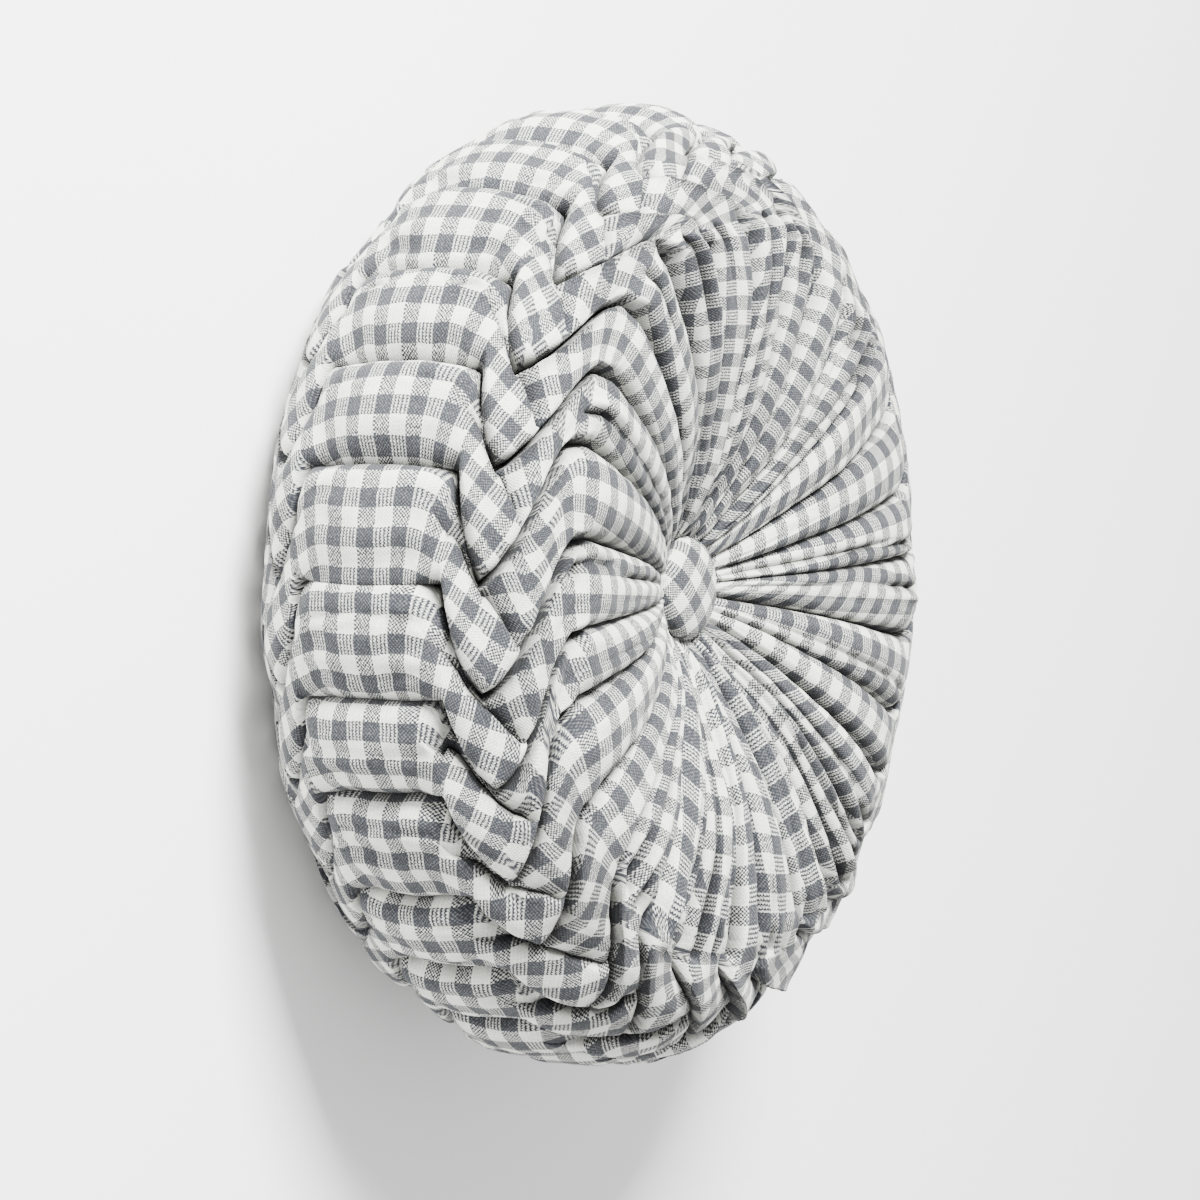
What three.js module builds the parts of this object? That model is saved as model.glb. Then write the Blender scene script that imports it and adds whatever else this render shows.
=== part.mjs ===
// A round pleated cushion with a covered button drawn into each side, lying on its back.
// Millimetres. The origin is on the surface below the middle, and +Z leaves the pleated face.
import * as THREE from "three";

// Driving sizes of the cushion
const diameter = 380;
const middleHeight = 72; // from the surface up to the widest ring
const puffs = 28; // soft folds that run across the rim
const rim = diameter / 2;
const clothColour = 0xb4b5b8;

// Driving sizes of a covered button, with heights measured from the middle of the cushion
const buttonRadius = 20;
const buttonTop = 38;
const buttonUnderside = 26;
const undersideRadius = 17;
const buttonEdge = 30;
const buttonShoulder = 34; // the dome curves over towards its top from here
const buttonCrown = 13; // out to here the dome is nearly level
const buttonTurns = 56;
const seatGap = 0.4; // between a button and the cloth that it is drawn down onto

// Where a fold is sampled across its width, closer together beside its crease
const acrossFold = [0, 0.07, 0.22, 0.38, 0.5, 0.64, 0.8, 0.93];

// Rings of the filled form, from the front button's seat over the rim to the back one's seat.
// r is the radius and z the height above the middle. shift is how far round the crease has
// moved there, in folds: it zigzags on the shoulder, where the cloth is smocked into flaps.
// puff is the depth of the creases between the rim's folds, and pleat of the face's pleats.
const seatRadius = undersideRadius + seatGap;
const seatHeight = buttonUnderside - seatGap;
const rings = [
  { r: seatRadius, z: seatHeight, shift: -0.56, puff: 0, pleat: 0 },
  { r: 21, z: 29.5, shift: -0.56, puff: 0, pleat: 0.3 },
  { r: 28, z: 35.5, shift: -0.56, puff: 0, pleat: 2 },
  { r: 40, z: 41.5, shift: -0.56, puff: 0, pleat: 3.2 },
  { r: 58, z: 49, shift: -0.56, puff: 0, pleat: 4 },
  { r: 80, z: 56.5, shift: -0.56, puff: 0, pleat: 4.5 },
  { r: 105, z: 61.5, shift: -0.56, puff: 0, pleat: 5 },
  { r: 128, z: 63, shift: -0.56, puff: 1, pleat: 5 },
  { r: 146, z: 61, shift: -0.5, puff: 5, pleat: 3 },
  { r: 157, z: 56.5, shift: -0.05, puff: 8, pleat: 1 },
  { r: 167, z: 50, shift: 0.48, puff: 9, pleat: 0 },
  { r: 176, z: 41, shift: 0.75, puff: 8, pleat: 0 },
  { r: 183, z: 30, shift: 0, puff: 11, pleat: 0 },
  { r: 188.5, z: 15, shift: 0, puff: 12, pleat: 0 },
  { r: rim, z: 0, shift: 0, puff: 12, pleat: 0 },
  { r: 188.5, z: -16, shift: 0, puff: 12, pleat: 0 },
  { r: 183, z: -32, shift: 0, puff: 11, pleat: 0 },
  { r: 175, z: -46, shift: 0.7, puff: 8, pleat: 0 },
  { r: 160, z: -60.5, shift: 0.2, puff: 7, pleat: 1 },
  { r: 146, z: -68, shift: -0.5, puff: 3, pleat: 1 },
  { r: 130, z: -middleHeight, shift: -0.56, puff: 0, pleat: 0 },
  { r: 95, z: -middleHeight, shift: -0.56, puff: 0, pleat: 0 },
  { r: 60, z: -60, shift: -0.56, puff: 0, pleat: 4 },
  { r: 34, z: -41, shift: -0.56, puff: 0, pleat: 2.5 },
  { r: 21, z: -29.5, shift: -0.56, puff: 0, pleat: 0.3 },
  { r: seatRadius, z: -seatHeight, shift: -0.56, puff: 0, pleat: 0 },
];

// The folds are uneven: how far crease k strays, in folds, and how deep it is drawn. At the
// front of the rim one crease is so faint that its two folds run into each other.
const faintCrease = 0;
const faintDraw = 0.35;
function stray(k) {
  return 0.05 * Math.sin(2.3 * k) + 0.04 * Math.sin(5.9 * k + 1);
}
function draw(k) {
  if (k === faintCrease) return faintDraw;
  return 1 + 0.16 * Math.sin(3.7 * k + 0.6);
}

// The hollow of a soft fold, 1 in its creases and 0 on its rounded crest, for t from 0 to 1
const roundness = 0.96; // at 1 a fold would stand upright where it meets its crease
function hollow(t) {
  const across = Math.abs(2 * t - 1);
  return (1 - Math.sqrt(1 - roundness * across ** 2)) / (1 - Math.sqrt(1 - roundness));
}

// The same for two pleats to a fold, whose second crease is the shallower one
const secondCrease = 0.6;
function pleatHollow(t) {
  const share = t > 0.25 && t < 0.75 ? secondCrease : 1;
  return share * hollow((2 * t) % 1);
}

// The unit direction out of the form at ring i, in the plane of r and z
function outward(i) {
  const before = rings[Math.max(i - 1, 0)];
  const after = rings[Math.min(i + 1, rings.length - 1)];
  const along = new THREE.Vector2(after.r - before.r, after.z - before.z).normalize();
  return new THREE.Vector2(-along.y, along.x);
}

// One point of the form, on ring i, at place t across the fold after crease k
function foldPoint(i, k, t) {
  const ring = rings[i];
  const next = (k + 1) % puffs;
  const strayed = (1 - t) * stray(k) + t * stray(next);
  const angle = ((k + t + strayed + ring.shift) * 2 * Math.PI) / puffs;
  const depth = draw(t < 0.5 ? k : next) * (ring.puff * hollow(t) + ring.pleat * pleatHollow(t));
  const out = outward(i);
  const r = ring.r - depth * out.x;
  const z = middleHeight + ring.z - depth * out.y;
  return new THREE.Vector3(r * Math.cos(angle), r * Math.sin(angle), z);
}

// The filled form: a net of rings and folds, closed by a fan over each button's seat
function cushionGeometry() {
  const columns = puffs * acrossFold.length;
  const points = [];
  for (let i = 0; i < rings.length; i++) {
    for (let k = 0; k < puffs; k++) {
      for (const t of acrossFold) points.push(foldPoint(i, k, t));
    }
  }
  const faces = [];
  for (let i = 0; i < rings.length - 1; i++) {
    for (let j = 0; j < columns; j++) {
      const next = (j + 1) % columns;
      const a = i * columns + j;
      const b = i * columns + next;
      const c = a + columns;
      const d = b + columns;
      const acrossBC = points[b].distanceTo(points[c]) < points[a].distanceTo(points[d]);
      if (acrossBC) faces.push(a, c, b, b, c, d);
      else faces.push(a, c, d, a, d, b);
    }
  }
  const front = points.push(new THREE.Vector3(0, 0, middleHeight + seatHeight)) - 1;
  const back = points.push(new THREE.Vector3(0, 0, middleHeight - seatHeight)) - 1;
  const lastRing = (rings.length - 1) * columns;
  for (let j = 0; j < columns; j++) {
    const next = (j + 1) % columns;
    faces.push(front, j, next);
    faces.push(back, lastRing + next, lastRing + j);
  }
  const geometry = new THREE.BufferGeometry().setFromPoints(points);
  geometry.setIndex(faces);
  geometry.computeVertexNormals();
  return geometry;
}

// A covered button: a flat underside, a rounded edge and a low dome
function buttonGeometry() {
  const outline = new THREE.Path();
  outline.moveTo(0, buttonUnderside);
  outline.lineTo(undersideRadius, buttonUnderside);
  outline.lineTo(buttonRadius, buttonEdge);
  outline.bezierCurveTo(buttonRadius, buttonShoulder, buttonCrown, buttonTop, 0, buttonTop);
  const profile = outline.getPoints(7);
  profile[profile.length - 1].x = 0;
  return new THREE.LatheGeometry(profile, buttonTurns).rotateX(Math.PI / 2);
}

// One named piece of the checked cotton
function piece(name, geometry) {
  const cotton = new THREE.MeshStandardMaterial({ color: clothColour, roughness: 0.9 });
  cotton.metalness = 0;
  const mesh = new THREE.Mesh(geometry, cotton);
  mesh.name = name;
  return mesh;
}

const pillow = new THREE.Group();
pillow.add(piece("cushion", cushionGeometry()));

const buttonFront = piece("button_front", buttonGeometry());
buttonFront.position.z = middleHeight;
pillow.add(buttonFront);

const buttonBack = piece("button_back", buttonGeometry());
buttonBack.rotation.x = Math.PI;
buttonBack.position.z = middleHeight;
pillow.add(buttonBack);

export default pillow;
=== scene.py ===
# A round pleated cushion in gingham with covered buttons, lying on its back
import math
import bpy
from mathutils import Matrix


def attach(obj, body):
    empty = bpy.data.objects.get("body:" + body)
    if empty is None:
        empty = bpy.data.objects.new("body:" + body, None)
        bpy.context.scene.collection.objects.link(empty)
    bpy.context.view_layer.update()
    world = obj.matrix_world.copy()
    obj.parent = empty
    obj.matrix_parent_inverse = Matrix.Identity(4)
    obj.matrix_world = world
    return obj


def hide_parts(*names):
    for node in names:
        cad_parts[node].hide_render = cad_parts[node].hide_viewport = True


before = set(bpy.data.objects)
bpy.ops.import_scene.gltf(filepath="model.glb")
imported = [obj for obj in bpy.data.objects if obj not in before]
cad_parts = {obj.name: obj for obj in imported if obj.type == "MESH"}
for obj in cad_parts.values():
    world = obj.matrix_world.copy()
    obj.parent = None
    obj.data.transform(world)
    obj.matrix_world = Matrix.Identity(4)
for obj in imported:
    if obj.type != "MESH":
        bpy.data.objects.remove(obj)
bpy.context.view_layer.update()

from types import SimpleNamespace

import bpy
import numpy as np
from mathutils import Vector

mm = 0.001
fullTurn = 2 * math.pi
# mm of cloth to one light and one dark stripe, across a puff and along it
gingham = {"across": 14.5, "along": 13.3}

# The cover, in millimetres until it becomes a mesh. A place on the shoulder is given as mm past
# the corner where a puff ends, below 0 on the puff itself, and a pair of places is a range over
# which something sets in or runs out. In the dictionaries, Aside is what is added on the two
# sides of the cushion, and Varies how far chance changes a value.
cover = {
    "puffs": 28,
    "middleHeight": 72,
    "clothPerPuff": 50.1,  # width of cloth that is gathered into one puff
    "columns": (24, 24),  # points across a puff, before and after its edge line
    "crowding": 0.12,  # how much closer together they stand beside a crease or an edge line
    "steps": {"face": 1.5, "shoulder": 1.0, "rim": 1.5, "backShoulder": 1.8, "back": 4},
    "margins": {"frontTip": 14, "frontCorner": 16, "backTip": 10},  # mm that the finer steps reach past
    "slew": 9,  # how much nearer the face the puffs end on one side of the cushion
    "backLag": -0.5,  # share of that, and the other way, on the back
    "backRelief": 0.55,  # share of the front's relief that the back has
    "rimEnds": (-13, 2),  # where a puff runs out into the shoulder
    "faceStarts": (46, 62),  # where the shoulder runs out into the face
    "fullness": 0.85,  # how tightly it is filled, from 0 to 1
    # the next four set the painted shade that darkens the cloth's colour in its creases
    "paintedShadeDepth": 2.4,  # a crease this much deeper than its surroundings gets the full painted shade
    "lookAside": 7,  # columns on either side that count as surroundings
    "paintedShadeSpread": 6,  # columns on either side to which a dark one spreads its painted shade
    "paintedShadeFall": 1.4,  # how soon that painted shade fades
}

# radius and height above the middle, from the front button's seat to the back one's
profile = [
    (17.4, 25.6), (21, 29.5), (28, 35.5), (40, 41.5), (58, 49), (80, 56.5), (105, 61.5),
    (128, 63), (146, 61), (157, 56.5), (167, 50), (176, 41), (183, 30), (188.5, 15), (190, 0),
    (188.5, -16), (183, -32), (175, -46), (160, -60.5), (146, -68), (130, -72), (95, -72),
    (60, -60), (34, -41), (21, -29.5), (17.4, -25.6),
]
perSpan = 24  # points of the curve between two of these
named = {"frontTip": 8, "frontCorner": 12, "rim": 14, "backCorner": 16, "backTip": 19}
tipReach = 50  # mm from the corner where a puff ends to the tip where a pleat starts

# how one crease differs from the next, in waves of a height, a pace and a start
crooked = {
    "stray": ((0.05, 2.3, 0), (0.04, 5.9, 1)),  # in puffs
    "draw": ((0.16, 3.7, 0.6),),  # as a share of its depth
    "slew": ((2, 4.1, 0),),  # in mm
    "cloth": ((3.5, 1.7, 0),),  # in mm of cloth
    "faint": 0.22,  # one crease at the front of the rim hardly shows
}
# the same by chance, as shares of a puff, a length or a swing
varied = {"edge": 0.05, "reach": 0.13, "swing": 0.13, "bow": 0.035}

# mm past the corner, against how far round a crease has moved there, in puffs
creasePath = [
    (0, 0), (2, 0.26), (4, 0.44), (6, 0.57), (9, 0.75), (14, 0.93), (20, 0.83), (27, 0.62),
    (31, 0.44), (35, 0.23), (39, -0.04), (43, -0.27), (48, -0.45), (58, -0.56),
]
# the same for a flap's upper edge, as a share of the way to the next crease
edgePath = [
    (-40, 0.5), (-24, 0.36), (-16, 0.18), (-11, 0.18), (-8, 0.28), (-5, 0.42), (-2, 0.52), (0, 0.55),
    (2, 0.34), (4, 0.22), (6, 0.14), (9, 0.1), (14, 0.1), (16, 0.15), (18, 0.25), (20, 0.36),
    (24, 0.62), (27, 0.84), (30, 0.95), (35, 0.95), (45, 0.6), (56, 0.5),
]
# depth of a crease, and mm over which the cloth rounds into it from below and from above
creaseDepth = [
    (-14, 12), (0, 12), (2, 11), (5, 7), (9, 8), (14, 13), (20, 15), (35, 15), (48, 15), (56, 12),
    (62, 9),
]
startRound = [
    (-14, 2), (-8, 4), (-3, 6.5), (1, 8), (5, 8), (9, 6), (13, 5), (18, 6), (40, 6), (60, 3),
]
endRound = [
    (-14, 2.2), (0, 1.3), (2, 1.6), (5, 3.5), (9, 3.5), (13, 1.6), (17, 0.9), (30, 0.9), (60, 1.2),
]
# share of the depth that the cloth rounds into from below; the rest is a narrow slit
startShare = [(8, 1), (15, 0.3), (22, 0.12), (44, 0.12), (50, 0.4), (60, 0.4)]
# how much deeper the creases are on the two sides of the cushion
sideDeeper = [(-4, 0), (3, -0.35), (11, -0.2), (18, 0.35)]
# how the cloth between two creases slants: above 0 it is high beside the upper one, like a
# shingle, and beyond the tips it slants the other way
slant = [
    (8, 0), (18, 1), (42, 1), (50, -0.1), (56, -0.6), (66, -0.5), (100, -0.25), (150, -0.12),
    (200, 0),
]
# how far a flap stands off the cloth beyond its upper edge
edgeStep = [(-14, 0), (-8, 1.5), (0, 4), (6, 5.5), (14, 7), (24, 6.5), (31, 0)]
# mm that the cloth leans over a crease from above, from below, and where a pleat starts
upperLean = [(-60, 2.4), (-8, 2.4), (3, 1.8), (6, 0.8), (14, 0.5), (26, 0.3), (40, 0.6)]
lowerLean = [(34, 0), (44, 0.8), (52, 0.8), (58, 0)]
hoodLean = [(44, 0), (54, 1.8), (64, 1.6), (76, 0.9)]
# radius against the depth of the pleats
pleatDepth = [(17, 0), (21, 1.5), (28, 3.5), (40, 4.8), (60, 5.8), (100, 7.5), (130, 9.5), (150, 10)]


def soften(x, low, high):
    q = np.clip((x - low) / (high - low), 0, 1)
    return q * q * (3 - 2 * q)


# rises over the first pair and falls over the second
def between(x, rise, fall):
    return soften(x, *rise) * (1 - soften(x, *fall))


def bump(x, low, high):
    half = (low + high) / 2
    return between(x, (low, half), (half, high))


# a round hollow or ridge, 1 in its middle
def dent(distance, width):
    return np.exp(-((distance / width) ** 2))


def along(table, x):
    return np.interp(x, [row[0] for row in table], [row[1] for row in table])


def waves(k, rows):
    return sum(height * np.sin(pace * k + start) for height, pace, start in rows)


# one chance value from -1 to 1 for each crease
def uneven(seed):
    values = np.random.default_rng(seed).uniform(-1, 1, cover["puffs"])
    return np.append(values, values[0])


# the same for each fold, laid out for the net
def unevenFold(seed):
    return uneven(seed)[None, :-1, None]


def curveThrough(points):
    p = np.array([points[0]] + list(points) + [points[-1]], float)
    out = []
    for i in range(1, len(p) - 2):
        a, b, c, d = p[i - 1], p[i], p[i + 1], p[i + 2]
        for q in np.arange(perSpan) / perSpan:
            bend = (2 * a - 5 * b + 4 * c - d) * q**2 + (3 * b - a - 3 * c + d) * q**3
            out.append(0.5 * (2 * b + (c - a) * q + bend))
    return np.array(out + [p[-1]])


# The net: rows along the profile, folds round the cushion, columns across a fold
def layNet():
    n = cover["puffs"]
    curve = curveThrough(profile)
    length = np.concatenate([[0], np.cumsum(np.hypot(*np.diff(curve, axis=0).T))])
    at = {name: length[perSpan * i] for name, i in named.items()}
    steps, margins = cover["steps"], cover["margins"]
    faceEnd = at["frontTip"] - margins["frontTip"]
    rimStart = at["frontCorner"] + margins["frontCorner"]
    backStart = at["backTip"] + margins["backTip"]
    spans = [
        (0, faceEnd, steps["face"]),
        (faceEnd, rimStart, steps["shoulder"]),
        (rimStart, at["backCorner"], steps["rim"]),
        (at["backCorner"], backStart, steps["backShoulder"]),
        (backStart, length[-1], steps["back"]),
    ]
    rows = [np.linspace(a, b, round((b - a) / step), endpoint=False) for a, b, step in spans]
    s = np.concatenate(rows + [[length[-1]]])
    r, z = np.interp(s, length, curve[:, 0]), np.interp(s, length, curve[:, 1])
    slope = np.gradient(np.stack([r, z], -1), s, axis=0)
    slope /= np.linalg.norm(slope, axis=1)[:, None]
    net = SimpleNamespace(s=s[:, None, None], at=at, count=n)
    net.isFront = net.s < at["rim"]
    net.outR, net.outZ = -slope[:, 1, None, None], slope[:, 0, None, None]

    k = np.arange(n + 1)
    k[-1] = 0
    net.k = k[None, :-1, None]
    stray = waves(k, crooked["stray"])
    draw = np.where(k == 0, crooked["faint"], 1 + waves(k, crooked["draw"]))
    slew = cover["slew"] * np.sin(fullTurn * k / n) + waves(k, crooked["slew"])
    backLag = cover["backLag"]

    def past(slewHere):
        corner = at["frontCorner"] + slewHere
        front = corner - net.s
        front = np.where(front > 0, front * tipReach / (corner - at["frontTip"]), front)
        back = net.s - at["backCorner"] - backLag * slewHere
        back = np.where(back > 0, back * tipReach / (at["backTip"] - at["backCorner"]), back)
        return np.where(net.isFront, front, back)

    middle = past((slew[:-1] + slew[1:])[None, :, None] / 2)
    edge = along(edgePath, middle)
    edge = edge + varied["edge"] * unevenFold(6) * bump(middle, -12, 24)
    before, after = cover["columns"]
    q = np.concatenate([np.arange(before) / before, 1 + np.arange(after + 1) / after])
    q = q - cover["crowding"] * np.sin(fullTurn * q)
    net.inPanel = (q < 1)[None, None, :]
    t = np.where(q <= 1, q * edge, edge + (q - 1) * (1 - edge))
    net.t, net.edge = t, edge

    def mix(values):
        return values[None, :-1, None] * (1 - t) + values[None, 1:, None] * t

    net.mix = mix
    slewAcross = mix(slew)
    backCorner = at["backCorner"] + backLag * slewAcross
    net.corner = np.where(net.isFront, at["frontCorner"] + slewAcross, backCorner)
    net.beyond = past(slewAcross)
    reach = 1 + varied["reach"] * mix(uneven(3)) * soften(net.beyond, 8, 20)
    net.x = net.beyond * reach
    swing = 1 + varied["swing"] * mix(uneven(4))
    bow = varied["bow"] * mix(uneven(9)) * np.sin(math.pi * soften(net.beyond, -75, 4))
    net.shift = swing * along(creasePath, net.x) + bow
    net.drawn = mix(draw)
    net.r = np.broadcast_to(r[:, None, None], t.shape)
    net.z = np.broadcast_to(z[:, None, None], t.shape)
    net.pitch = fullTurn * net.r / n
    net.turn = fullTurn / n * (net.k + t + mix(stray) + net.shift)
    net.d0, net.d1 = t * net.pitch, (1 - t) * net.pitch  # mm to the crease on either side
    net.onRim = 1 - soften(net.x, *cover["rimEnds"])
    net.onFace = soften(net.x, *cover["faceStarts"])
    net.onShoulder = 1 - net.onRim - net.onFace
    # the folds stand highest on the two sides of the cushion, and are low beside the floor
    net.sideways = np.sin(net.turn) ** 2
    net.upright = np.where(net.isFront, 1, cover["backRelief"])
    return net


puff = {
    "crease": 13.5,  # mm deep
    "crest": 0.4,  # how far across a puff is highest
    "crestWander": 0.06,
    "squareness": (3.4, 2.2),  # 2 gives a round section, more a flatter one; before and after the crest
    "upright": 0.985,  # at 1 a puff would stand upright where it meets its crease
    "slit": 5,  # how much deeper a crease is in its middle
    "slitWidth": 1.5,
    "slitVaries": 0.5,
    "slitWidens": 0.8,  # at the puff's ends
    "middle": -45,
    "ends": (20, 45),  # mm from the middle
    "faintest": 0.3,  # a crease drawn in less has no slit
}
# short tucks that fan out of the corners into the puffs
cornerTuck = {
    "rows": ((21, 0.24, 1.7), (22, 0.8, 2.2), (23, 0.52, 2.6)),  # seed, place across, width
    "depth": 0.9,  # mm, and by chance up to as much more or less
    "wander": 0.07,
    "fan": 0.0035,  # share of the puff's width that a tuck moves aside for each mm
    "fanFrom": -18,
    "starts": (-40, -16),
    "ends": (-6, 5),
    "ridge": 0.6,  # height of the ridge beside a tuck, as a share of its depth
    "ridgeAway": 2,  # in widths of the tuck
}


def rimDepth(net):
    crest = puff["crest"] + puff["crestWander"] * unevenFold(19)
    isBefore = net.t < crest
    across = np.where(isBefore, 1 - net.t / crest, (net.t - crest) / (1 - crest))
    power = np.where(isBefore, *puff["squareness"])
    upright = puff["upright"]
    hollow = 1 - (1 - upright * across**power) ** (1 / power)
    hollow /= 1 - (1 - upright) ** (1 / power)
    depth = puff["crease"] * hollow * net.drawn
    atEnds = soften(np.abs(net.x - puff["middle"]), *puff["ends"])
    gap = puff["slitWidth"] + puff["slitVaries"] * net.mix(uneven(24)) + puff["slitWidens"] * atEnds
    depth = depth + puff["slit"] * dent(net.d0, gap) * np.clip(net.drawn - puff["faintest"], 0, 1)
    fade = between(net.x, cornerTuck["starts"], cornerTuck["ends"])
    for seed, place, width in cornerTuck["rows"]:
        fan = cornerTuck["fan"] * (net.x - cornerTuck["fanFrom"]) * (0.5 - place) * 4
        middle = place + cornerTuck["wander"] * net.mix(uneven(seed)) + fan
        deep = cornerTuck["depth"] + cornerTuck["depth"] * net.mix(uneven(seed + 10))
        away = (net.t - middle) * net.pitch / width
        ridge = cornerTuck["ridge"] * dent(away - cornerTuck["ridgeAway"], 1)
        depth = depth + fade * deep * (dent(away, 1) - ridge)
    return depth


shoulder = {
    "creaseVaries": 0.15,
    "slitWidth": 2.2,
    "slitNarrows": 0.8,  # on the two sides of the cushion
    "slitPower": 5,  # how steep its walls are
    "stepVaries": 0.3,
    "underFlap": 1.6,  # how late the cloth sinks under the flap beside it
    "edgeRound": 0.45,  # mm over which a flap's edge falls
    "panelRise": 0.5,  # mm that the cloth rises between a crease and the flap
    "panelFrom": (14, 22),
    "flapRise": 0.9,
    "flapBox": 0.8,  # 1 gives a flap a round section, less a boxier one
    "flapFrom": (-16, 4),
    "flapTo": (22, 31),
    "flapTilt": 2.2,  # mm that one side of a flap stands higher, by chance
    "flapTiltFrom": (-4, 12),
}
# the rolled starts of the pleats, and the pockets between their tips and at the puffs' corners
tips = {
    "hoodPlace": 3.0,  # mm beside the crease
    "hoodWidth": 1.9,
    "hoodZone": (40, 74),
    "hoodVaries": 0.6,
    "hoodRise": 2.2,
    "hoodRiseAside": 1.6,
    "pocketPlace": 48,
    "pocketStrays": 3,
    "pocketLength": 6,
    "pocketWidth": 2.1,
    "pocketWidthAside": 1.4,
    "pocketDepth": 6,
    "pocketDepthAside": 9,
    "cornerDepth": 3,
    "cornerPlace": 1,
    "cornerSize": 3,
}


def shoulderDepth(net):
    x = net.x
    tauPanel = np.clip(net.t / net.edge, 0, 1)
    tauFlap = np.clip((net.t - net.edge) / (1 - net.edge), 0, 1)
    toEdge = (net.t - net.edge) * net.pitch
    deep = along(creaseDepth, x) * (1 + shoulder["creaseVaries"] * net.mix(uneven(14)))
    deep = deep * (1 + net.sideways * along(sideDeeper, x))
    share = along(startShare, x)
    slitWidth = shoulder["slitWidth"] - shoulder["slitNarrows"] * net.sideways
    slit = np.exp(-((net.d0 / slitWidth) ** shoulder["slitPower"]))
    below = share * np.exp(-net.d0 / along(startRound, x)) + (1 - share) * slit
    depth = deep * (below + np.exp(-net.d1 / along(endRound, x)))
    step = along(edgeStep, x) * (1 + shoulder["stepVaries"] * unevenFold(12))
    under = tauPanel ** shoulder["underFlap"]
    over = np.exp(-np.clip(toEdge, 0, None) / shoulder["edgeRound"])
    depth = depth + step * np.where(net.inPanel, under, over)
    panel = np.sin(math.pi * tauPanel) * soften(x, *shoulder["panelFrom"])
    flap = np.sin(math.pi * tauFlap) ** shoulder["flapBox"] * soften(x, *shoulder["flapFrom"])
    flap = flap * (1 - soften(x, *shoulder["flapTo"]))
    depth = depth - np.where(net.inPanel, shoulder["panelRise"] * panel, shoulder["flapRise"] * flap)
    tilt = shoulder["flapTilt"] * unevenFold(16) * soften(x, *shoulder["flapTiltFrom"])
    tilt = tilt * (1 - soften(x, *shoulder["flapTo"]))
    tilted = (tauFlap - 0.5) * np.sin(math.pi * tauFlap) ** 0.5
    depth = depth + tilt * np.where(net.inPanel, 0, tilted)
    net.rolls = tipRolls(net) * net.upright
    return depth * net.upright + net.rolls


def tipRolls(net):
    x = net.x
    hood = dent(net.d1 - tips["hoodPlace"], tips["hoodWidth"]) * bump(x, *tips["hoodZone"])
    hood = hood * (1 + tips["hoodVaries"] * net.mix(uneven(15)))
    hood = hood * (tips["hoodRise"] + tips["hoodRiseAside"] * net.sideways)
    nearest = np.minimum(net.d0, net.d1)
    tipX = tips["pocketPlace"] + tips["pocketStrays"] * net.mix(uneven(18))
    width = tips["pocketWidth"] + tips["pocketWidthAside"] * net.sideways
    pocket = np.exp(-(((x - tipX) / tips["pocketLength"]) ** 2) - (nearest / width) ** 2)
    pocket = pocket * (tips["pocketDepth"] + tips["pocketDepthAside"] * net.sideways)
    size = tips["cornerSize"]
    corner = np.exp(-(((x - tips["cornerPlace"]) / size) ** 2) - (nearest / size) ** 2)
    corner = tips["cornerDepth"] * corner * net.isFront
    return pocket + corner - hood


# how the cloth between two creases slants, and the roll that it has beside the flap above
roof = {
    "slant": 0.5,
    "slantAside": 6,
    "aside": (0.1, 0.8),  # from the near and far folds at 0 to those on the two sides at 1
    "slantVaries": 0.35,
    "level": 0.45,  # how far across the cloth keeps its height
    "roll": 1.6,
    "rollAside": 1.4,
    "rollVaries": 0.6,
    "rollFrom": (16, 30),
    "rollTo": (44, 54),
    "rollRound": 1.2,  # mm from the crease over which it rises
    "rollTop": 1.6,
    "rollFall": 3,
}


def slantDepth(net):
    aside = soften(net.sideways, *roof["aside"])
    size = roof["slant"] + roof["slantAside"] * aside * (1 + roof["slantVaries"] * net.mix(uneven(17)))
    size = size * net.upright
    return size * along(slant, net.x) * (net.t - roof["level"])


def rolledEdge(net):
    size = roof["roll"] + roof["rollAside"] * net.sideways
    size = size * (1 + roof["rollVaries"] * net.mix(uneven(20))) * net.upright
    where = between(net.x, roof["rollFrom"], roof["rollTo"])
    rise = 1 - dent(net.d0, roof["rollRound"])
    return size * where * rise * np.exp(-np.clip(net.d0 - roof["rollTop"], 0, None) / roof["rollFall"])


# The pleats of a face: one crease between each two folds, and shorter pleats between them
pleat = {
    "shallowest": 0.8,
    "varies": 0.25,
    "deeperAside": 0.7,
    "asideFrom": (95, 130),  # radius
    "hollow": 0.35,  # share of the depth that is a wide hollow; the slit has its own
    "hollowReach": 0.3,  # share of the fold's width
    "hollowPower": 1.6,
    "slit": 0.85,
    "slitPower": 1.5,
    "slitWidth": 0.75,
    "slitWidens": 0.4,
    "slitWidensAside": 1.0,
    "widensFrom": (85, 135),
    "crown": 2.0,  # mm that the cloth rises between two creases
    "crownBox": 0.7,
    "crownFrom": (24, 60),
    "slip": 3,  # mm that a pleat's checks lie off its neighbour's
    "slipTilt": 0.14,  # the same for each mm across it
}
shortPleat = {
    # seed, place across the fold, strength and the radius where it starts
    "rows": ((41, 0.35, 0.14, 118), (42, 0.68, 0.06, 108), (43, 0.52, -0.22, 96)),
    "strengthVaries": 0.38,
    "startStrays": 26,
    "startFade": (-22, 14),  # mm inside and outside that radius
    "middleFade": (20, 34),  # radius
    "wander": 0.09,  # share of the fold's width
    "drift": 0.0012,  # the same for each mm from the next radius
    "driftFrom": 60,
    "slit": 0.85,
    "slitWidth": 0.45,
    "slitWidens": 0.004,
    "hollow": 0.45,
    "hollowWidth": 2.4,
    "slipOver": (-0.7, 0.7),  # mm on either side, over which the checks step aside
}


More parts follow.
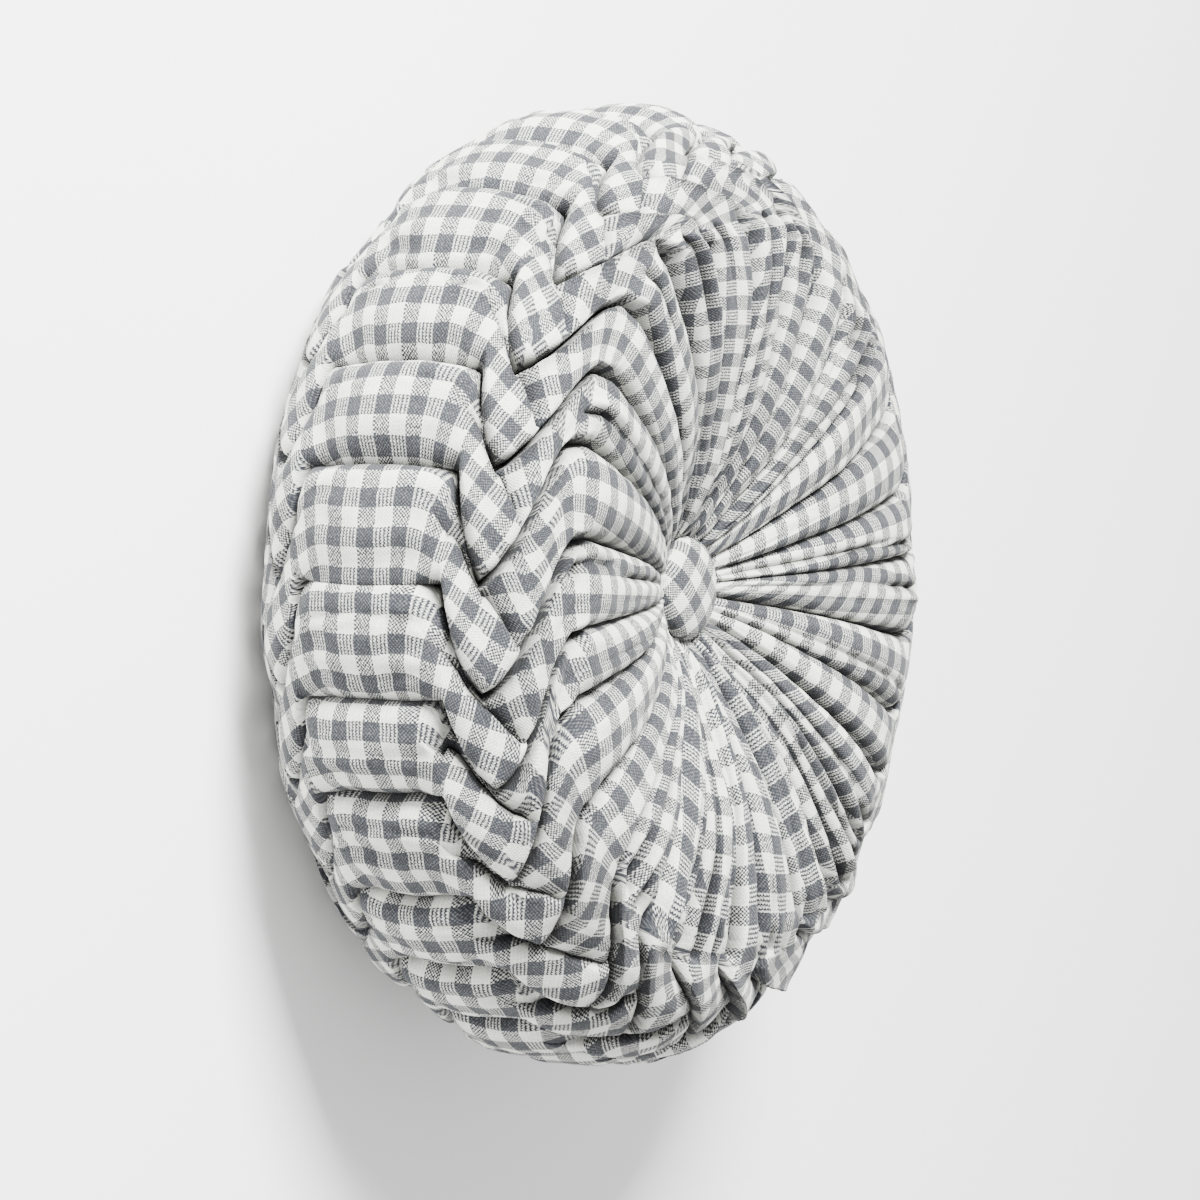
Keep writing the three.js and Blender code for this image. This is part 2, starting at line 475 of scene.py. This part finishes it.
def faceDepth(net):
    main = along(pleatDepth, net.r) * np.clip(net.drawn, pleat["shallowest"], None)
    aside = pleat["deeperAside"] * net.sideways * soften(net.r, *pleat["asideFrom"])
    main = main * (1 + pleat["varies"] * net.mix(uneven(31)) + aside * net.upright)
    away = np.minimum(net.t, 1 - net.t)
    hollow = np.clip(1 - away / pleat["hollowReach"], 0, None) ** pleat["hollowPower"]
    depth = main * pleat["hollow"] * hollow
    widens = pleat["slitWidens"] + pleat["slitWidensAside"] * net.sideways
    width = pleat["slitWidth"] + widens * soften(net.r, *pleat["widensFrom"])
    slit = np.exp(-((away * net.pitch / width) ** pleat["slitPower"]))
    depth = depth + main * pleat["slit"] * slit
    crown = pleat["crown"] * np.sin(math.pi * net.t) ** pleat["crownBox"]
    depth = depth - crown * soften(net.r, *pleat["crownFrom"])
    tilt = (net.t - 0.5) * net.pitch * pleat["slipTilt"] * unevenFold(63)
    net.slipped = pleat["slip"] * unevenFold(62) + tilt
    fade = soften(net.r, *shortPleat["middleFade"])
    fadeIn, fadeOut = shortPleat["startFade"]
    for seed, place, strength, start in shortPleat["rows"]:
        amount = strength + shortPleat["strengthVaries"] * unevenFold(seed + 10)
        begins = start + shortPleat["startStrays"] * unevenFold(seed + 20)
        drift = shortPleat["drift"] * (net.r - shortPleat["driftFrom"]) * unevenFold(seed + 30)
        middle = place + shortPleat["wander"] * unevenFold(seed) + drift
        amount = np.clip(amount, 0, None) * (1 - soften(net.r, begins + fadeIn, begins + fadeOut)) * fade
        aside = (net.t - middle) * net.pitch
        slitWidth = shortPleat["slitWidth"] + shortPleat["slitWidens"] * net.r
        slit = shortPleat["slit"] * np.exp(-np.abs(aside) / slitWidth)
        hollow = shortPleat["hollow"] * dent(aside, shortPleat["hollowWidth"])
        depth = depth + main * amount * (slit + hollow)
        past = amount * (soften(aside, *shortPleat["slipOver"]) - 0.5)
        net.slipped = net.slipped + pleat["slip"] * past * unevenFold(seed + 40)
    return depth


# Short tucks that start deep beside the tips and run out on the face
faceTuck = {
    "rows": ((51, 0.3), (52, 0.62)),  # seed and place across the fold
    "aside": 0.6,  # how much stronger on the two sides
    "least": 0.1,  # taken off all, so the faintest are left out
    "varies": 0.7,
    "ends": 100,  # radius where a tuck has run out, which it begins to do at endsFade
    "endsStray": 14,
    "endsFade": 134,
    "starts": 144,
    "startsStray": 4,
    "startsFade": 5,
    "wander": 0.08,
    "drift": 0.0015,
    "driftFrom": 140,
    "depth": 6,
    "depthAside": 3,
    "depthOut": 4,
    "deepestFrom": (128, 142),
    "width": 1.1,
    "widthAside": 0.5,
    "ridge": 0.3,
    "ridgeAway": 4.2,
    "ridgeWidth": 2.2,
}


def tuckDepth(net):
    tuck = faceTuck
    depth = np.zeros_like(net.turn)
    for seed, place in tuck["rows"]:
        amount = tuck["aside"] * net.sideways - tuck["least"] + tuck["varies"] * unevenFold(seed)
        amount = np.clip(amount, 0, 1)
        ends = tuck["ends"] + tuck["endsStray"] * unevenFold(seed + 10)
        starts = tuck["starts"] + tuck["startsStray"] * unevenFold(seed + 30)
        drift = tuck["drift"] * (net.r - tuck["driftFrom"])
        middle = place + tuck["wander"] * unevenFold(seed + 20) - drift
        aside = (net.t - middle) * net.pitch
        deep = amount * soften(net.r, ends, tuck["endsFade"])
        deep = deep * (1 - soften(net.r, starts, starts + tuck["startsFade"]))
        outer = tuck["depthOut"] * soften(net.r, *tuck["deepestFrom"])
        deep = deep * (tuck["depth"] + tuck["depthAside"] * net.sideways + outer) * net.upright
        slit = np.exp(-np.abs(aside) / (tuck["width"] + tuck["widthAside"] * net.sideways))
        ridge = tuck["ridge"] * dent(aside + tuck["ridgeAway"], tuck["ridgeWidth"])
        depth = depth + deep * (slit - ridge)
    return depth


# How far the cloth leans over its creases, in mm round the cushion. On the two sides the flaps
# lie over each other, so there each is flung over the one below.
overhang = {
    "lipStart": 0.35,  # mm from the crease over which the lean sets in
    "upperReach": 3.2,
    "lowerReach": 2.6,
    "edge": 1.5,  # over a flap's edge where its step is edgeFullStep
    "edgeFullStep": 5.5,
    "edgeReach": 2.4,
    "overlapFrom": (14, 24),
    "overlapTo": (46, 56),
    "flung": 3.2,
    "flungVaries": 0.3,
    "flungFrom": (0.7, 2.4),
    "flungReach": 4.5,
    "tipEnd": 44,  # beyond this the lean is that of the pleats' hooded starts
    "hoodLessAside": 0.5,
    "hoodFrom": (24, 50),  # radius
}


def leanOver(net):
    def lip(distance, reach):
        return (1 - np.exp(-distance / overhang["lipStart"])) * np.exp(-distance / reach)

    upper, lower, hooded = (along(table, net.x) for table in (upperLean, lowerLean, hoodLean))
    overlap = net.sideways * soften(net.x, *overhang["overlapFrom"])
    overlap = overlap * (1 - soften(net.x, *overhang["overlapTo"]))
    flungStart, flungFull = overhang["flungFrom"]
    flung = soften(net.d0, flungStart, flungFull)
    flung = flung * np.exp(-np.clip(net.d0 - flungFull, 0, None) / overhang["flungReach"])
    flung = overhang["flung"] * overlap * flung * (1 + overhang["flungVaries"] * net.mix(uneven(25)))
    upper = upper * np.clip(net.drawn, 0, 1) * (1 - overlap)
    hooded = hooded * (1 - overhang["hoodLessAside"] * net.sideways)
    lean = upper * (net.x < overhang["tipEnd"]) + hooded * soften(net.r, *overhang["hoodFrom"])
    lean = lean * lip(net.d1, overhang["upperReach"])
    lean = lean - lower * lip(net.d0, overhang["lowerReach"]) - flung
    toEdge = np.clip((net.t - net.edge) * net.pitch, 0, None)
    step = along(edgeStep, net.x) / overhang["edgeFullStep"]
    return lean - overhang["edge"] * step * lip(toEdge, overhang["edgeReach"]) * (1 - net.inPanel)


# How the flat cloth lies on the net
laid = {
    "turnBack": 27,  # degrees that the cloth has turned where a puff becomes a flap
    "turnOver": (-22, 12),
    "rise": 22,  # degrees that it has turned the other way on its way to the tip
    "riseVaries": 0.7,
    "riseFrom": (-8, 8),
    "riseTo": (34, 58),
    "flapFrom": (-16, -2),
    "flapTo": (22, 34),
    "pastStep": 4,  # columns from a flap's edge to where its cloth is pinned
    "shoulderEnd": 40,  # beyond it the checks follow the pleats, and no longer the creases' swing
    "flapEnd": 31,  # a flap's cloth ends here beyond its edge line, and before it at panelEnd
    "panelEnd": 13,
    "reach": (-100, 260, 1441),  # mm past the corner: first, last and how many points
}


# lays cloth that turns by the angles in bend as it leaves the puff
def turnCloth(net, u, reach, bend):
    step = reach[1] - reach[0]
    sink = np.cumsum(np.tan(bend), axis=1) * step
    run = np.cumsum(1 / np.cos(bend), axis=1) * step
    angle, offset, onward = (np.zeros_like(u) for _ in range(3))
    for k in range(net.count):
        here = net.beyond[:, k]
        angle[:, k] = np.interp(here, reach, bend[k])
        offset[:, k] = u[:, k] - np.interp(here, reach, sink[k] - np.interp(0, reach, sink[k]))
        onward[:, k] = np.interp(here, reach, run[k] - np.interp(0, reach, run[k]))
    onward = onward + np.sin(angle) * offset
    away = np.where(net.isFront, -1, 1)
    return np.stack([np.cos(angle) * offset, net.corner + away * onward], -1)


# where each point lies on the flat cloth, in mm: once rising from under a flap to the tip, and
# once turned back into a flap
def layCloth(net, points):
    # cloth lengths are taken without the rolls and pockets, which only stretch it
    steps = np.linalg.norm(np.diff(points, axis=2), axis=3)
    arc = np.concatenate([np.zeros(net.t.shape[:2] + (1,)), np.cumsum(steps, axis=2)], axis=2)
    flapped = between(net.x, laid["flapFrom"], laid["flapTo"])

    def pinnedAt(column):
        place = (net.t[:, :, column : column + 1] - 0.5) * net.pitch
        return arc - arc[:, :, column : column + 1] + place

    # a flap's cloth is pinned on the flap, just past the step at its edge
    edgeColumn = cover["columns"][0]
    spread = pinnedAt(edgeColumn)
    flapSpread = spread + (pinnedAt(edgeColumn + laid["pastStep"]) - spread) * flapped
    widthAtTip = fullTurn * profile[named["frontTip"]][0] / net.count
    aside = net.shift * np.where(net.beyond < laid["shoulderEnd"], net.pitch, widthAtTip)
    u = spread + aside

    reach = np.linspace(*laid["reach"])
    same = np.ones((net.count, 1))
    flap = same * math.radians(laid["turnBack"]) * soften(reach, *laid["turnOver"])
    rise = np.radians(laid["rise"] * (1 + laid["riseVaries"] * uneven(61)[:-1, None]))
    rise = -rise * soften(reach, *laid["riseFrom"]) * (1 - soften(reach, *laid["riseTo"]))
    place = cover["clothPerPuff"] * net.k + waves(net.k, crooked["cloth"])
    base = np.stack([place + 0 * u, 0 * u], -1)
    slip = np.stack([0 * u, net.slipped + 0 * u], -1) * net.onFace[..., None]
    rising = turnCloth(net, u, reach, rise) + base + slip
    return rising, turnCloth(net, flapSpread + aside, reach, flap) + base


def pointsAt(net, depth, turn):
    r = net.r - depth * net.outR
    z = np.maximum(net.z - depth * net.outZ + cover["middleHeight"], 0)
    return np.stack([r * np.cos(turn), r * np.sin(turn), z], -1)


# Gentle lumps of the filling: seed, how many waves, their lengths, their height and their lean
lumpy = {
    "large": (5, 14, (34, 80), 1.0, (0, math.pi)),
    "small": (8, 20, (9, 22), 0.2, (0, math.pi)),
    "along": (11, 16, (11, 20), 0.3, (-0.3, 0.3)),
    "radius": 170,  # where the waves have these lengths
    "from": (22, 40),  # radius
}


def lumps(net, seed, count, lengths, size, lean):
    rng = np.random.default_rng(seed)
    total = np.zeros_like(net.turn)
    for i in range(count):
        wave = rng.uniform(*lengths)
        tilt = rng.uniform(*lean)
        timesRound = round(math.cos(tilt) * fullTurn * lumpy["radius"] / wave)
        phase = rng.uniform(0, fullTurn)
        total += np.sin(timesRound * net.turn + math.sin(tilt) * fullTurn / wave * net.s + phase)
    return size * total / math.sqrt(count)


def coverShape():
    net = layNet()
    rim, face = rimDepth(net), faceDepth(net)
    depth = net.onRim * rim + net.onShoulder * shoulderDepth(net) + net.onFace * face
    depth = depth + slantDepth(net) + tuckDepth(net) * net.isFront
    calm = pointsAt(net, depth - net.onShoulder * net.rolls, net.turn)
    depth = depth - rolledEdge(net)
    rough = lumps(net, *lumpy["large"]) + lumps(net, *lumpy["small"])
    rough = rough + lumps(net, *lumpy["along"]) * net.onRim
    depth = depth + rough * soften(net.r, *lumpy["from"])
    points = pointsAt(net, depth, net.turn + leanOver(net) / net.r)
    return (points, *layCloth(net, calm), net.beyond, paintedShadeMask(depth[:, :, :-1]))


# painted shade for the creases: how far the cloth lies below its surroundings, from 0 to 1 in the depth
# of a crease, spread to the columns beside it
def paintedShadeMask(depth):
    ring = depth.reshape(len(depth), -1)
    shifts = range(-cover["lookAside"], cover["lookAside"] + 1)
    mean = sum(np.roll(ring, shift, axis=1) for shift in shifts) / len(shifts)
    hollow = np.clip((ring - mean) / cover["paintedShadeDepth"], 0, 1)
    reach, fall = cover["paintedShadeSpread"], cover["paintedShadeFall"]
    spread = []
    for shift in range(-reach, reach + 1):
        spread.append(np.roll(hollow, shift, axis=1) * (1 - abs(shift) / (reach + 1)) ** fall)
    return np.max(spread, axis=0)


def coverMesh():
    points, rising, turned, beyond, hollow = coverShape()
    rows, n, cols = points.shape[:3]
    across = cols - 1
    ring = n * across
    verts = points[:, :, :across].reshape(rows * ring, 3)
    seats = np.array([[0, 0, verts[:ring, 2].mean()], [0, 0, verts[-ring:, 2].mean()]])
    verts = np.concatenate([verts, seats]) * mm
    i, k, j = np.meshgrid(np.arange(rows - 1), np.arange(n), np.arange(across), indexing="ij")
    here = i * ring + k * across + j
    right = i * ring + (k * across + j + 1) % ring
    quads = np.stack([here, here + ring, right + ring, right], -1).reshape(-1, 4)
    column = np.arange(ring)
    front = np.stack([np.full(ring, rows * ring), column, (column + 1) % ring], -1)
    last = (rows - 1) * ring
    back = np.stack([np.full(ring, rows * ring + 1), last + (column + 1) % ring, last + column], -1)
    flapEnd = np.where(j >= cover["columns"][0], laid["flapEnd"], laid["panelEnd"])
    isFlap = beyond[:-1, :, :-1] < flapEnd
    corners = []
    for di, dj in ((0, 0), (1, 0), (1, 1), (0, 1)):
        a = rising[di : rows - 1 + di, :, dj : cols - 1 + dj]
        b = turned[di : rows - 1 + di, :, dj : cols - 1 + dj]
        corners.append(np.where(isFlap[..., None], b, a))
    uv = np.stack(corners, -2).reshape(-1, 2) / (gingham["across"], gingham["along"])
    uv = np.concatenate([uv, np.zeros((ring * 6, 2))])  # the fans under the buttons
    mesh = bpy.data.meshes.new("cushionCover")
    mesh.from_pydata(verts.tolist(), [], quads.tolist() + front.tolist() + back.tolist())
    layer = mesh.uv_layers.new(name="cloth")
    layer.uv.foreach_set("vector", uv.astype(np.float32).ravel())
    # painted shade for the creases, carried to the material as the crease attribute
    shade = mesh.attributes.new("crease", "FLOAT", "POINT")
    shade.data.foreach_set("value", np.append(hollow.ravel(), [0, 0]).astype(np.float32))
    mesh.polygons.foreach_set("use_smooth", np.ones(len(mesh.polygons), bool))
    mesh.update()
    print("cover:", len(verts), "points")
    return mesh


# Shader helpers
def addNode(tree, kind, **values):
    node = tree.nodes.new(kind)
    for name, value in values.items():
        setattr(node, name, value)
    return node


def connect(tree, value, socket):
    if isinstance(value, (int, float, tuple)):
        socket.default_value = value
    else:
        tree.links.new(value, socket)


def reckon(tree, operation, *values):
    node = addNode(tree, "ShaderNodeMath", operation=operation)
    for value, socket in zip(values, node.inputs):
        connect(tree, value, socket)
    return node.outputs[0]


def mixColour(tree, factor, a, b):
    node = addNode(tree, "ShaderNodeMix", data_type="RGBA")
    for value, i in ((factor, 0), (a, 6), (b, 7)):
        connect(tree, value, node.inputs[i])
    return node.outputs[2]


weave = {
    "yarns": 9,  # pairs to one repeat
    "picks": 13,  # yarns that cross them in one repeat
    "specks": 10,  # rows of specks in one repeat, where slate crosses cream
    "wander": 0.05,  # repeats that the stripes stray from straight
    "wanderScale": 2.5,
    "ragged": 0.06,  # the same for their edges
    "fade": 0.16,  # how patchy the dye is
    "fadeScale": 1.2,
    "slub": 0.35,  # how uneven the yarns are
    "slubScale": 1.5,
    "roughScale": 1.2,
    "chainBend": 0.014,
    # share of slate in the four kinds of check, and how far the weave and its roughness move it
    "speck": (0.76, 0.8, 2.4),
    "line": (0.74, 0.42, 1.4),
    "dark": (0.98, 0.08, 0.3),
    "light": (0.06, 0.06, 0.4),
    "knots": 0.15,
}


def ginghamGroup():
    tree = bpy.data.node_groups.new("ginghamCloth", "ShaderNodeTree")
    face = tree.interface
    face.new_socket("Cloth", in_out="INPUT", socket_type="NodeSocketVector")
    for name, value in (("Cream", (0.8, 0.8, 0.76, 1)), ("Slate", (0.16, 0.17, 0.2, 1))):
        face.new_socket(name, in_out="INPUT", socket_type="NodeSocketColor").default_value = value
    face.new_socket("Colour", in_out="OUTPUT", socket_type="NodeSocketColor")
    face.new_socket("Height", in_out="OUTPUT", socket_type="NodeSocketFloat")
    ins = addNode(tree, "NodeGroupInput")
    outs = addNode(tree, "NodeGroupOutput")
    wander = addNode(tree, "ShaderNodeTexNoise")
    wander.inputs["Scale"].default_value = weave["wanderScale"]
    wander.inputs["Detail"].default_value = 2
    tree.links.new(ins.outputs["Cloth"], wander.inputs["Vector"])
    push = addNode(tree, "ShaderNodeVectorMath", operation="MULTIPLY_ADD")
    tree.links.new(wander.outputs["Color"], push.inputs[0])
    push.inputs[1].default_value = (weave["wander"], weave["wander"], 0)
    tree.links.new(ins.outputs["Cloth"], push.inputs[2])
    split = addNode(tree, "ShaderNodeSeparateXYZ")
    tree.links.new(push.outputs[0], split.inputs[0])
    u, v = split.outputs[0], split.outputs[1]
    yarns, picks = weave["yarns"], weave["picks"]

    def multiply(a, b):
        return reckon(tree, "MULTIPLY", a, b)

    def add(a, b):
        return reckon(tree, "ADD", a, b)

    def less(x):
        return reckon(tree, "SUBTRACT", 1, x)

    def wave(x, times):
        return reckon(tree, "SINE", multiply(x, fullTurn * times))

    def clamp(x):
        return reckon(tree, "MINIMUM", reckon(tree, "MAXIMUM", x, 0), 1)

    def slubs(long, wide, seed):
        place = addNode(tree, "ShaderNodeCombineXYZ")
        tree.links.new(multiply(u, long), place.inputs[0])
        tree.links.new(multiply(v, wide), place.inputs[1])
        place.inputs[2].default_value = seed
        noise = addNode(tree, "ShaderNodeTexNoise")
        noise.inputs["Scale"].default_value = 1
        noise.inputs["Detail"].default_value = 1
        tree.links.new(place.outputs[0], noise.inputs["Vector"])
        return noise.outputs[0]

    slub = weave["slubScale"]
    weftSlub, warpSlub = slubs(slub, 2 * picks, 2.0), slubs(2 * picks, slub, 7.0)
    fine = weave["roughScale"] * picks
    rough = reckon(tree, "SUBTRACT", slubs(fine, fine, 4.0), 0.5)

    def stripe(x):
        ragged = add(x, multiply(rough, weave["ragged"]))
        return reckon(tree, "LESS_THAN", reckon(tree, "FRACT", ragged), 0.5)

    def tone(name, pattern, knots=None):
        share, strength, roughness = weave[name]
        stray = multiply(rough, roughness)
        if knots is not None:
            stray = add(knots, stray)
        return clamp(add(add(multiply(pattern, strength), share), stray))

    # light yarns over dark ones show as fine chains, dark over light as specks
    uDark, vDark = stripe(u), stripe(v)
    uLight, vLight = less(uDark), less(vDark)
    crossing = multiply(wave(u, weave["specks"]), wave(v, weave["specks"]))
    chain = wave(add(v, multiply(wave(u, picks), weave["chainBend"])), yarns)
    speck = tone("speck", crossing)
    line = tone("line", chain, multiply(wave(u, picks), weave["knots"]))
    dark = tone("dark", crossing)
    light = tone("light", chain)
    plain = add(multiply(multiply(uDark, vDark), dark), multiply(multiply(uLight, vLight), light))
    mingled = add(multiply(multiply(uDark, vLight), line), multiply(multiply(vDark, uLight), speck))
    amount = add(plain, mingled)
    dyed = mixColour(tree, amount, ins.outputs["Cream"], ins.outputs["Slate"])
    fade = addNode(tree, "ShaderNodeTexNoise")
    fade.inputs["Scale"].default_value = weave["fadeScale"]
    tree.links.new(ins.outputs["Cloth"], fade.inputs["Vector"])
    slubby = add(weftSlub, warpSlub)
    slubbed = reckon(tree, "MULTIPLY_ADD", slubby, weave["slub"], 1 - weave["slub"])
    faded = reckon(tree, "MULTIPLY_ADD", fade.outputs[0], weave["fade"], 1 - weave["fade"] / 2)
    patchy = multiply(faded, slubbed)
    worn = addNode(tree, "ShaderNodeVectorMath", operation="SCALE")
    tree.links.new(dyed, worn.inputs[0])
    tree.links.new(patchy, worn.inputs["Scale"])
    tree.links.new(worn.outputs[0], outs.inputs["Colour"])
    tree.links.new(add(crossing, slubby), outs.inputs["Height"])
    return tree


cloth = {
    "cream": (0.68, 0.68, 0.63, 1),
    "slate": (0.024, 0.0265, 0.033, 1),
    "roughness": 0.95,
    "sheen": 0.1,
    "shine": 0.15,
    "relief": 0.4,
    "reliefHeight": 0.0002,  # metres
    "paintedCreaseShade": 0.93,  # share of the colour that painted shade takes away in the depth of a crease
}


def clothMaterial(name, group, mapped):
    material = bpy.data.materials.new(name)
    material.use_nodes = True
    tree = material.node_tree
    shader = tree.nodes["Principled BSDF"]
    woven = addNode(tree, "ShaderNodeGroup")
    woven.node_tree = group
    tree.links.new(mapped(tree), woven.inputs["Cloth"])
    woven.inputs["Cream"].default_value = cloth["cream"]
    woven.inputs["Slate"].default_value = cloth["slate"]
    # painted shade: the crease attribute darkens the woven colour in the creases
    crease = addNode(tree, "ShaderNodeAttribute")
    crease.attribute_name = "crease"
    paintedShadeScale = reckon(tree, "MULTIPLY_ADD", crease.outputs["Fac"], -cloth["paintedCreaseShade"], 1)
    shaded = addNode(tree, "ShaderNodeVectorMath", operation="SCALE")
    tree.links.new(woven.outputs["Colour"], shaded.inputs[0])
    tree.links.new(paintedShadeScale, shaded.inputs["Scale"])
    tree.links.new(shaded.outputs[0], shader.inputs["Base Color"])
    shader.inputs["Roughness"].default_value = cloth["roughness"]
    shader.inputs["Sheen Weight"].default_value = cloth["sheen"]
    shader.inputs["Specular IOR Level"].default_value = cloth["shine"]
    relief = addNode(tree, "ShaderNodeBump")
    relief.inputs["Strength"].default_value = cloth["relief"]
    relief.inputs["Distance"].default_value = cloth["reliefHeight"]
    tree.links.new(woven.outputs["Height"], relief.inputs["Height"])
    tree.links.new(relief.outputs[0], shader.inputs["Normal"])
    return material


def onCloth(tree):
    node = addNode(tree, "ShaderNodeUVMap")
    node.uv_map = "cloth"
    return node.outputs[0]


# The covered buttons
button = {
    "radius": 20,
    "middle": 30,  # height of the widest ring above the middle of the cushion
    "dome": 8,
    "underside": 4,
    "fullness": 0.8,  # 1 gives an oval section, less a boxier one
    "points": (108, 48),  # round it and from pole to pole
    "tucks": (27, 11),  # fine and coarse ones round the edge
    "coarseShare": 0.6,
    "tuckDepth": 0.012,  # share of the radius
    "tuckReach": 6,  # the higher, the closer to the edge they end
    "domeTucks": 0.35,  # share of their depth that shows on the dome
    "domeFrom": 0.2,
    "repeat": 12.8,  # mm to one light and one dark stripe
    "slant": -47,
    "slip": (0.66, 0.21, 0),
}


def onSlant(tree):
    turned = addNode(tree, "ShaderNodeMapping")
    turned.inputs["Location"].default_value = button["slip"]
    turned.inputs["Rotation"].default_value = (0, 0, math.radians(button["slant"]))
    size = 1 / (button["repeat"] * mm)
    turned.inputs["Scale"].default_value = (size, size, size)
    tree.links.new(onCloth(tree), turned.inputs["Vector"])
    return turned.outputs[0]


def coveredButton(name, side, material):
    bpy.ops.object.select_all(action="DESELECT")
    segments, rings = button["points"]
    bpy.ops.mesh.primitive_uv_sphere_add(segments=segments, ring_count=rings, radius=1)
    piece = bpy.context.object
    piece.name = name + "_cover"
    polar = np.linspace(0, math.pi, 181)
    spread = np.sin(polar) ** button["fullness"] * button["radius"]
    raised = np.abs(np.cos(polar)) ** button["fullness"]
    raised *= np.where(polar < math.pi / 2, button["dome"], -button["underside"])
    arc = np.concatenate([[0], np.cumsum(np.hypot(np.diff(spread), np.diff(raised)))])
    fineTucks, coarseTucks = button["tucks"]
    onFlatCloth = []
    for vertex in piece.data.vertices:
        x, y, z = vertex.co
        flat = min(math.hypot(x, y), 1)
        out = flat ** button["fullness"] * button["radius"]
        up = abs(z) ** button["fullness"] * (button["dome"] if z > 0 else button["underside"])
        angle = math.atan2(y, x)
        tuck = math.sin(fineTucks * angle) + button["coarseShare"] * math.sin(coarseTucks * angle + 1)
        shown = 1 if z < button["domeFrom"] else button["domeTucks"]
        out *= 1 + button["tuckDepth"] * tuck * flat ** button["tuckReach"] * shown
        height = side * (button["middle"] + math.copysign(up, z)) + cover["middleHeight"]
        fromTop = np.interp(math.acos(max(-1, min(1, z))), polar, arc) * mm
        onFlatCloth.append((fromTop * math.cos(angle), side * fromTop * math.sin(angle)))
        vertex.co = (out * math.cos(angle) * mm, side * out * math.sin(angle) * mm, height * mm)
    layer = piece.data.uv_layers[0]
    layer.name = "cloth"
    for loop in piece.data.loops:
        layer.uv[loop.index].vector = onFlatCloth[loop.vertex_index]
    bpy.ops.object.shade_smooth()
    piece.data.materials.append(material)
    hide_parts(name)
    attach(piece, "root")


weaveGroup = ginghamGroup()
cushion = bpy.data.objects.new("cushion_cover", coverMesh())
bpy.context.scene.collection.objects.link(cushion)
cushion.data.materials.append(clothMaterial("gingham", weaveGroup, onCloth))
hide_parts("cushion")
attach(cushion, "root")
slanted = clothMaterial("gingham_slant", weaveGroup, onSlant)
coveredButton("button_front", 1, slanted)
coveredButton("button_back", -1, slanted)
print("pieces made")

# Floor and light
stage = {
    "floorSize": 8,
    "floor": (0.97, 0.97, 0.97, 1),
    "floorRoughness": 0.9,
    "world": (1, 1, 1, 1),
    "worldStrength": 1.2,
    "key": 385,
    "keySize": 0.8,
    "keyPlace": (0.9, -1.7, 1.45),
}
bpy.ops.object.select_all(action="DESELECT")
bpy.ops.mesh.primitive_plane_add(size=stage["floorSize"])
floor = bpy.context.object
floor.name = "floor"
floorMaterial = bpy.data.materials.new("floor")
floorMaterial.use_nodes = True
floorShader = floorMaterial.node_tree.nodes["Principled BSDF"]
floorShader.inputs["Base Color"].default_value = stage["floor"]
floorShader.inputs["Roughness"].default_value = stage["floorRoughness"]
floor.data.materials.append(floorMaterial)

world = bpy.data.worlds.new("studio")
bpy.context.scene.world = world
world.use_nodes = True
sky = world.node_tree.nodes["Background"]
sky.inputs[0].default_value = stage["world"]
sky.inputs[1].default_value = stage["worldStrength"]


def aim(thing, target, roll=0.0):
    look = (Vector(target) - thing.location).normalized()
    thing.rotation_euler = look.to_track_quat("-Z", "Y").to_euler()
    thing.rotation_euler.rotate_axis("Z", roll)


middle = (0, 0, cover["middleHeight"] * mm)
keyData = bpy.data.lights.new("key", "AREA")
keyData.energy = stage["key"]
keyData.size = stage["keySize"]
key = bpy.data.objects.new("key", keyData)
bpy.context.scene.collection.objects.link(key)
key.location = stage["keyPlace"]
aim(key, middle)

# Camera fitted to the photograph
lens = {
    "distance": 1.476,
    "elevation": 29.1,
    "roll": 91.7,
    "focalPixels": 3717,
    "pictureWidth": 1200,
    "sensorWidth": 36,
    "shift": (18, -14),  # pixels
}
cameraData = bpy.data.cameras.new("camera")
cameraData.sensor_width = lens["sensorWidth"]
cameraData.lens = lens["sensorWidth"] * lens["focalPixels"] / lens["pictureWidth"]
cameraData.shift_x = -lens["shift"][0] / lens["pictureWidth"]
cameraData.shift_y = lens["shift"][1] / lens["pictureWidth"]
camera = bpy.data.objects.new("camera", cameraData)
bpy.context.scene.collection.objects.link(camera)
up = math.radians(lens["elevation"])
camera.location = (lens["distance"] * math.cos(up), 0, middle[2] + lens["distance"] * math.sin(up))
aim(camera, middle, math.radians(lens["roll"]))
bpy.context.scene.camera = camera
print("stage, light and camera set")
